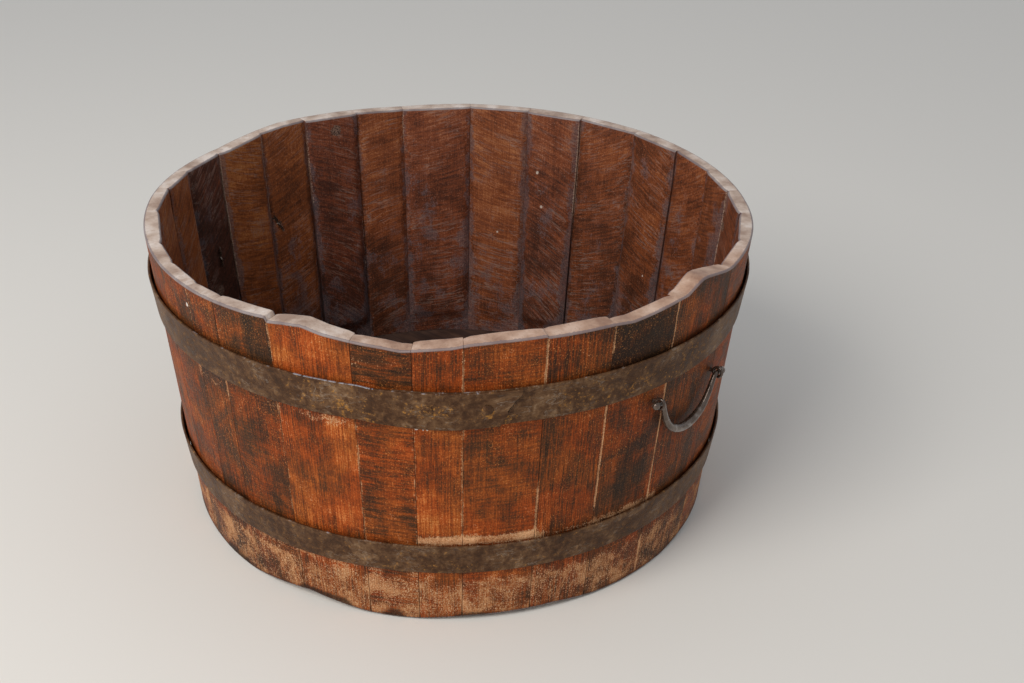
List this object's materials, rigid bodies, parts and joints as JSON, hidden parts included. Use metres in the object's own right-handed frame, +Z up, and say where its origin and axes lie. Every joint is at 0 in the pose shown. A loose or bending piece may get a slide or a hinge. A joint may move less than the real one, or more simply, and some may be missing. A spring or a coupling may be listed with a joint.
{
  "type": "wooden barrel planter",
  "caption": "Round, tapered open tub of upright wooden staves with riveted iron hoops, a boarded floor and swinging iron bail handles.",
  "frame": {"origin": "centre of the circle that the staves' feet stand on, at floor level", "axes": "+Z up along the tub's axis, +X towards the front handle, +Y to that handle's right as seen from outside"},
  "size_m": [0.6454, 0.641, 0.3423],
  "materials": {
    "stave_wood": "old waxed, satin",
    "head_wood": "dull",
    "hoop_iron": "dark brown patina",
    "handle_iron": "worn, half polished"
  },
  "bodies": {
    "tub": {"stave_01": "stave_wood", "stave_02": "stave_wood", "stave_03": "stave_wood", "stave_04": "stave_wood", "stave_05": "stave_wood", "stave_06": "stave_wood", "stave_07": "stave_wood", "stave_08": "stave_wood", "stave_09": "stave_wood", "stave_10": "stave_wood", "stave_11": "stave_wood", "stave_12": "stave_wood", "stave_13": "stave_wood", "stave_14": "stave_wood", "stave_15": "stave_wood", "stave_16": "stave_wood", "stave_17": "stave_wood", "stave_18": "stave_wood", "stave_19": "stave_wood", "stave_20": "stave_wood", "stave_21": "stave_wood", "stave_22": "stave_wood", "stave_23": "stave_wood", "stave_24": "stave_wood", "stave_25": "stave_wood", "stave_26": "stave_wood", "stave_27": "stave_wood", "stave_28": "stave_wood", "stave_29": "stave_wood", "head_board_1": "head_wood", "head_board_2": "head_wood", "head_board_3": "head_wood", "head_board_4": "head_wood", "head_board_5": "head_wood", "dowel_1": "head_wood", "dowel_2": "head_wood", "dowel_3": "head_wood", "dowel_4": "head_wood", "dowel_5": "head_wood", "dowel_6": "head_wood", "dowel_7": "head_wood", "dowel_8": "head_wood", "hoop_upper": "hoop_iron", "hoop_lower": "hoop_iron", "rivet_upper_1": "hoop_iron", "rivet_upper_2": "hoop_iron", "rivet_lower_1": "hoop_iron", "rivet_lower_2": "hoop_iron", "eye_front_left": "handle_iron", "eye_front_right": "handle_iron", "eye_rear_left": "handle_iron", "eye_rear_right": "handle_iron"},
    "bail_front": {"bail_front": "handle_iron"},
    "bail_rear": {"bail_rear": "handle_iron"}
  },
  "joints": [
    {"name": "bail_front_swing", "type": "hinge", "parent": "tub", "child": "bail_front", "pos_m": [0.31464, 0, 0.221], "axis": [0, -0.9962, 0.0872], "range_deg": [-3, 166]},
    {"name": "bail_rear_swing", "type": "hinge", "parent": "tub", "child": "bail_rear", "pos_m": [-0.3091, -0.05173, 0.212], "axis": [-0.165, 0.9858, 0.0314], "range_deg": [-3, 166]}
  ]
}
